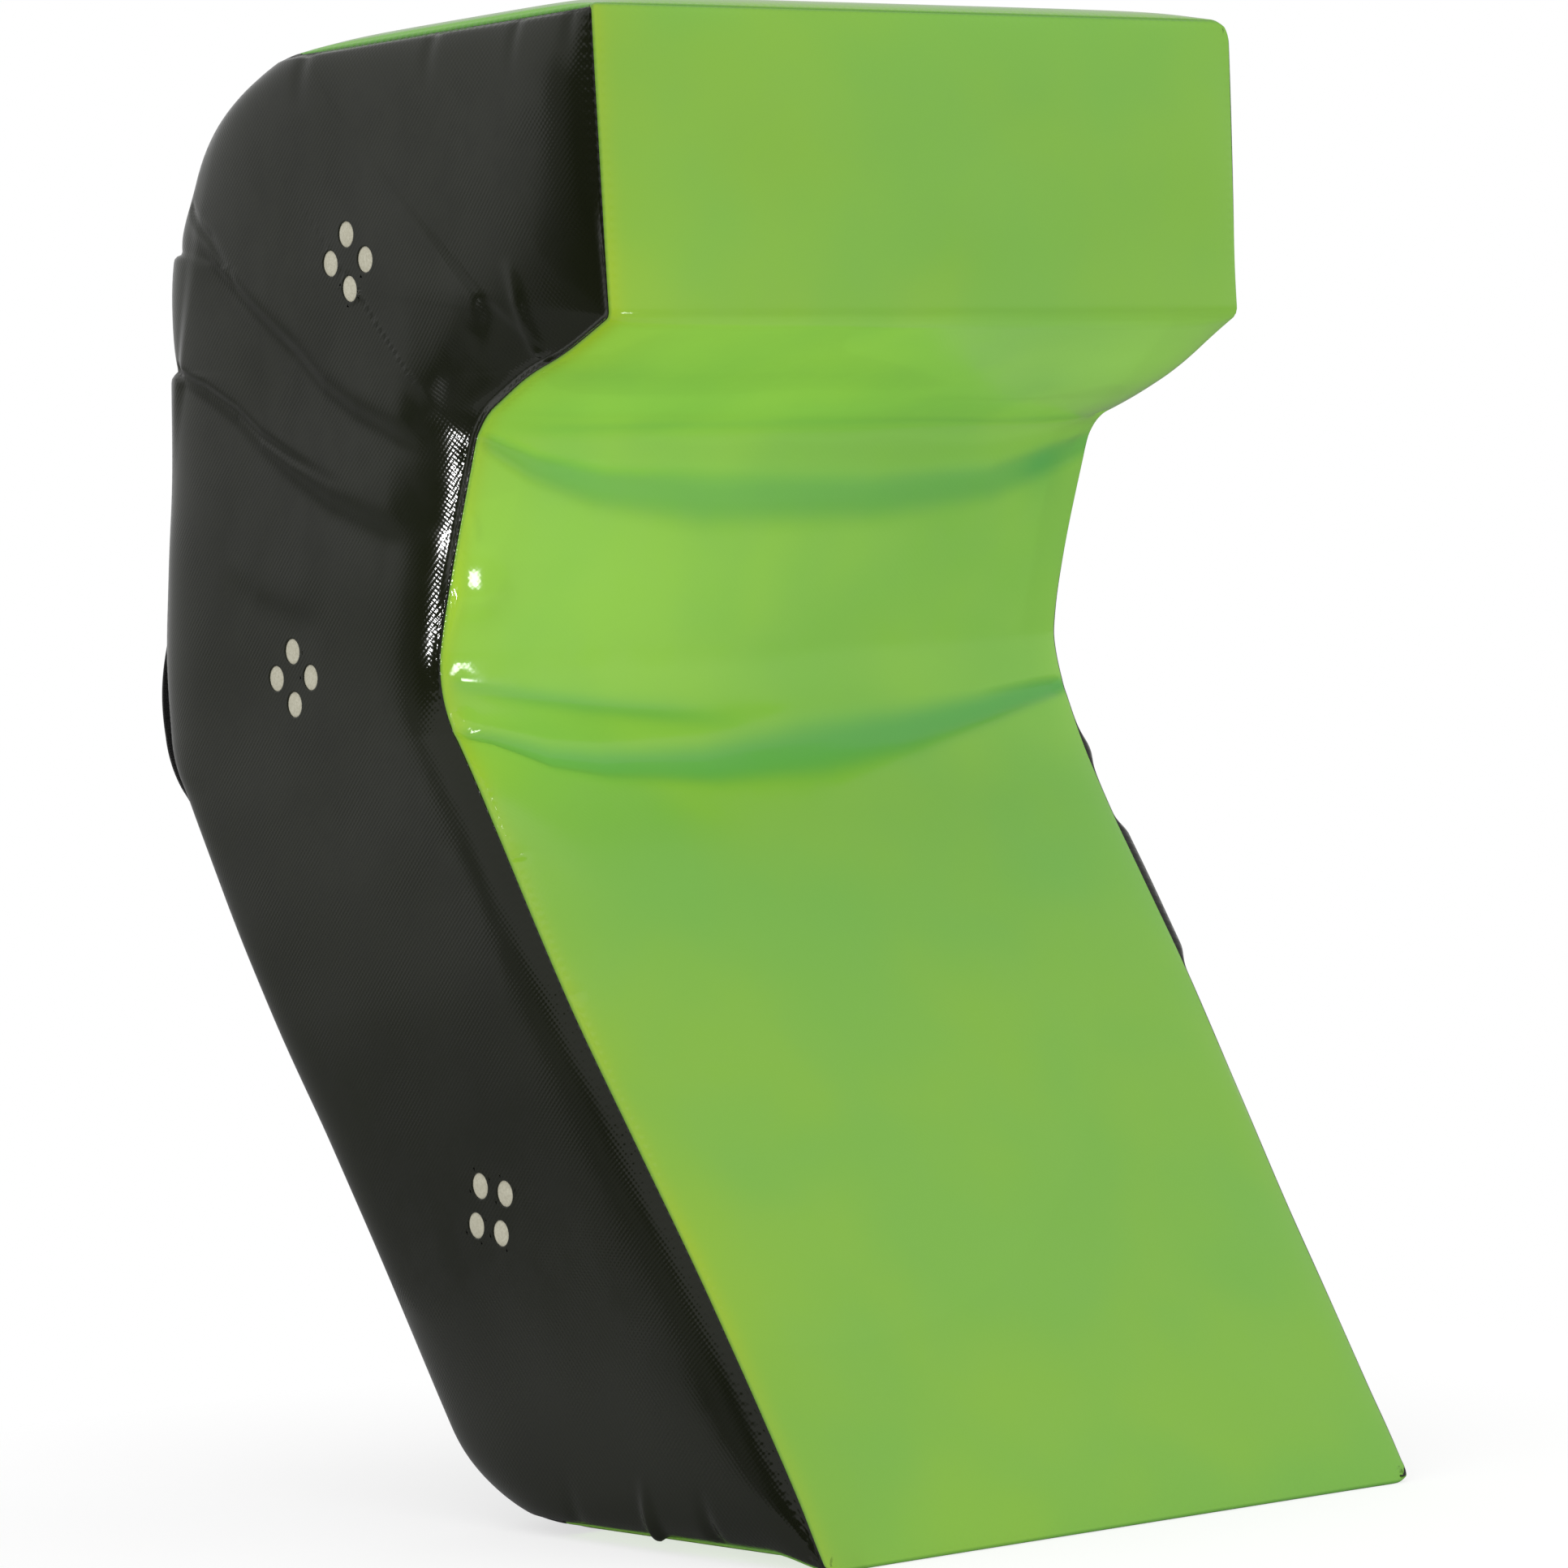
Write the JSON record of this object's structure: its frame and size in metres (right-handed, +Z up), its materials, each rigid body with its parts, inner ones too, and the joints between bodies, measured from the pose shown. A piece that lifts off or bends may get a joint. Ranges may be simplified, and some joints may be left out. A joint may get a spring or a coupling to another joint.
{
  "type": "tackle wedge",
  "caption": "Bent foam tackle wedge in a sewn vinyl cover, with a flat strike face, a notched waist, vented sides, arm straps and a zip up its back.",
  "frame": {"origin": "where the pad is held: the point on its back midway between the two arm straps and halfway along their free span", "axes": "+X across the pad, +Y out of its back towards the person who holds it, +Z up, with the pad upright as pictured and its base level"},
  "size_m": [0.4718, 0.6012, 0.841],
  "materials": {
    "green_vinyl": "glossy PVC-coated cloth, soft, lightly creased",
    "black_vinyl": "glossy PVC-coated cloth with its weave showing faintly",
    "foam": "matt open-cell foam",
    "webbing": "ribbed woven polypropylene",
    "zip_tape_cloth": "woven tape",
    "zip_plastic": "moulded, satin",
    "zip_metal": "plated, satin"
  },
  "bodies": {
    "pad": {"foam_head_block": "foam", "foam_waist_block": "foam", "foam_leg_block": "foam", "front_panel": "green_vinyl", "top_panel": "green_vinyl", "base_panel": "green_vinyl", "side_panel_left": "black_vinyl", "side_panel_right": "black_vinyl", "back_panel_upper": "black_vinyl", "back_panel_lower_left": "black_vinyl", "back_panel_lower_right": "black_vinyl", "strap_patch_upper_left": "black_vinyl", "strap_patch_upper_right": "black_vinyl", "strap_patch_lower_left": "black_vinyl", "strap_patch_lower_right": "black_vinyl", "arm_strap_left": "webbing", "arm_strap_right": "webbing", "zip_tape_left": "zip_tape_cloth", "zip_tape_right": "zip_tape_cloth", "zip_teeth_left": "zip_plastic", "zip_teeth_right": "zip_plastic", "zip_stop_lower": "zip_plastic", "zip_stop_upper": "zip_plastic"},
    "slider": {"zip_slider": "zip_metal"},
    "pull": {"zip_pull": "zip_metal"}
  },
  "joints": [
    {"name": "zip_slide", "type": "slide", "parent": "pad", "child": "slider", "axis": [0, 0.5502, 0.8351], "range_m": [0, 0.309], "deforming": ["zip_teeth_left", "zip_teeth_right"]},
    {"name": "zip_pull_swing", "type": "hinge", "parent": "slider", "child": "pull", "pos_m": [0, -0.20681, -0.34533], "axis": [1, 0, 0], "range_deg": [-33, 146]}
  ]
}
